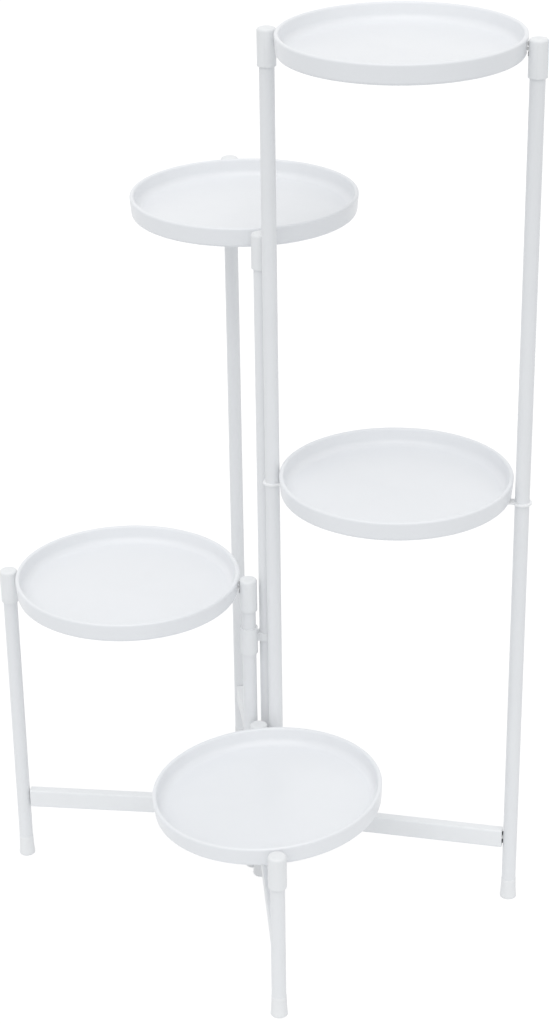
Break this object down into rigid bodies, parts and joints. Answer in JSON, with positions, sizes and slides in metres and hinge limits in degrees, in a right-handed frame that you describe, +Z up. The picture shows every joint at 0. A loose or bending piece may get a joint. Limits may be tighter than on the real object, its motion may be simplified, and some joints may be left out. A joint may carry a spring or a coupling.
{
  "type": "tiered plant stand",
  "caption": "Folding plant stand: H-shaped tube frames of different heights clipped together at a central bundle, each with a round tipping tray, and a fixed tray half way up the tall frame.",
  "frame": {"origin": "on the floor under the bundle leg of the tall right frame", "axes": "+Z up, +X to the right-hand side of the stand, +Y to its back"},
  "size_m": [0.5932, 0.5993, 1.015],
  "materials": {
    "tube": "satin",
    "tray": "semi-gloss",
    "crossbar": "satin",
    "fitting": "satin",
    "pin": "satin",
    "screw": "bright"
  },
  "bodies": {
    "right_frame": {"middle_tray": "tray", "middle_tray_screws": "screw", "middle_tray_strap": "tube", "right_crossbar": "crossbar", "right_crossbar_pins": "pin", "right_inner_cap": "fitting", "right_inner_foot": "fitting", "right_inner_lower_tube": "tube", "right_inner_upper_tube": "tube", "right_outer_cap": "fitting", "right_outer_foot": "fitting", "right_outer_lower_tube": "tube", "right_outer_upper_tube": "tube", "right_spigots": "fitting"},
    "front_link": {"front_clip_lower": "fitting", "front_clip_upper": "fitting"},
    "front_frame": {"front_crossbar": "crossbar", "front_crossbar_pins": "pin", "front_inner_cap": "fitting", "front_inner_foot": "fitting", "front_inner_tube": "tube", "front_outer_cap": "fitting", "front_outer_foot": "fitting", "front_outer_tube": "tube"},
    "back_link": {"back_clip": "fitting"},
    "back_frame": {"back_crossbar": "crossbar", "back_crossbar_pins": "pin", "back_inner_cap": "fitting", "back_inner_foot": "fitting", "back_inner_lower_tube": "tube", "back_inner_upper_tube": "tube", "back_outer_cap": "fitting", "back_outer_foot": "fitting", "back_outer_lower_tube": "tube", "back_outer_upper_tube": "tube", "back_spigots": "fitting"},
    "left_link": {"left_clip_lower": "fitting", "left_clip_upper": "fitting"},
    "left_frame": {"left_crossbar": "crossbar", "left_crossbar_pins": "pin", "left_inner_cap": "fitting", "left_inner_foot": "fitting", "left_inner_tube": "tube", "left_outer_cap": "fitting", "left_outer_foot": "fitting", "left_outer_tube": "tube"},
    "top_tray": {"top_tray": "tray", "top_tray_pins": "pin"},
    "back_tray": {"back_tray": "tray", "back_tray_pins": "pin"},
    "left_tray": {"left_tray": "tray", "left_tray_pins": "pin"},
    "front_tray": {"front_tray": "tray", "front_tray_pins": "pin"}
  },
  "joints": [
    {"name": "front_link_turn", "type": "hinge", "parent": "right_frame", "child": "front_link", "pos_m": [0, 0, 0.1], "axis": [0, 0, 1], "range_deg": [0, 51.7]},
    {"name": "front_frame_swing", "type": "hinge", "parent": "front_link", "child": "front_frame", "pos_m": [-0.01994, -0.0093, 0.1], "axis": [0, 0, 1], "range_deg": [-40, 21.2]},
    {"name": "back_link_turn", "type": "hinge", "parent": "right_frame", "child": "back_link", "pos_m": [0, 0, 0.21], "axis": [0, 0, -1], "range_deg": [0, 38.3]},
    {"name": "back_frame_swing", "type": "hinge", "parent": "back_link", "child": "back_frame", "pos_m": [-0.0093, 0.01994, 0.21], "axis": [0, 0, -1], "range_deg": [0, 72.2]},
    {"name": "left_link_turn", "type": "hinge", "parent": "back_frame", "child": "left_link", "pos_m": [-0.0093, 0.01994, 0.2], "axis": [0, 0, -1], "range_deg": [0, 17.8]},
    {"name": "left_frame_swing", "type": "hinge", "parent": "left_link", "child": "left_frame", "pos_m": [-0.02924, 0.01064, 0.2], "axis": [0, 0, -1], "range_deg": [-40, 58.2]},
    {"name": "top_tray_tip", "type": "hinge", "parent": "right_frame", "child": "top_tray", "pos_m": [0.13449, -0.03179, 1.0025], "axis": [0.9732, -0.23, 0], "range_deg": [-90, 90]},
    {"name": "back_tray_tip", "type": "hinge", "parent": "back_frame", "child": "back_tray", "pos_m": [-0.02662, 0.15705, 0.7785], "axis": [0.1253, -0.9921, 0], "range_deg": [-90, 90]},
    {"name": "left_tray_tip", "type": "hinge", "parent": "left_frame", "child": "left_tray", "pos_m": [-0.16646, 0.02701, 0.3725], "axis": [0.993, -0.1184, 0], "range_deg": [-90, 90]},
    {"name": "front_tray_tip", "type": "hinge", "parent": "front_frame", "child": "front_tray", "pos_m": [-0.01078, -0.14719, 0.1945], "axis": [0.0663, -0.9978, 0], "range_deg": [-83.4, 76.6]}
  ]
}
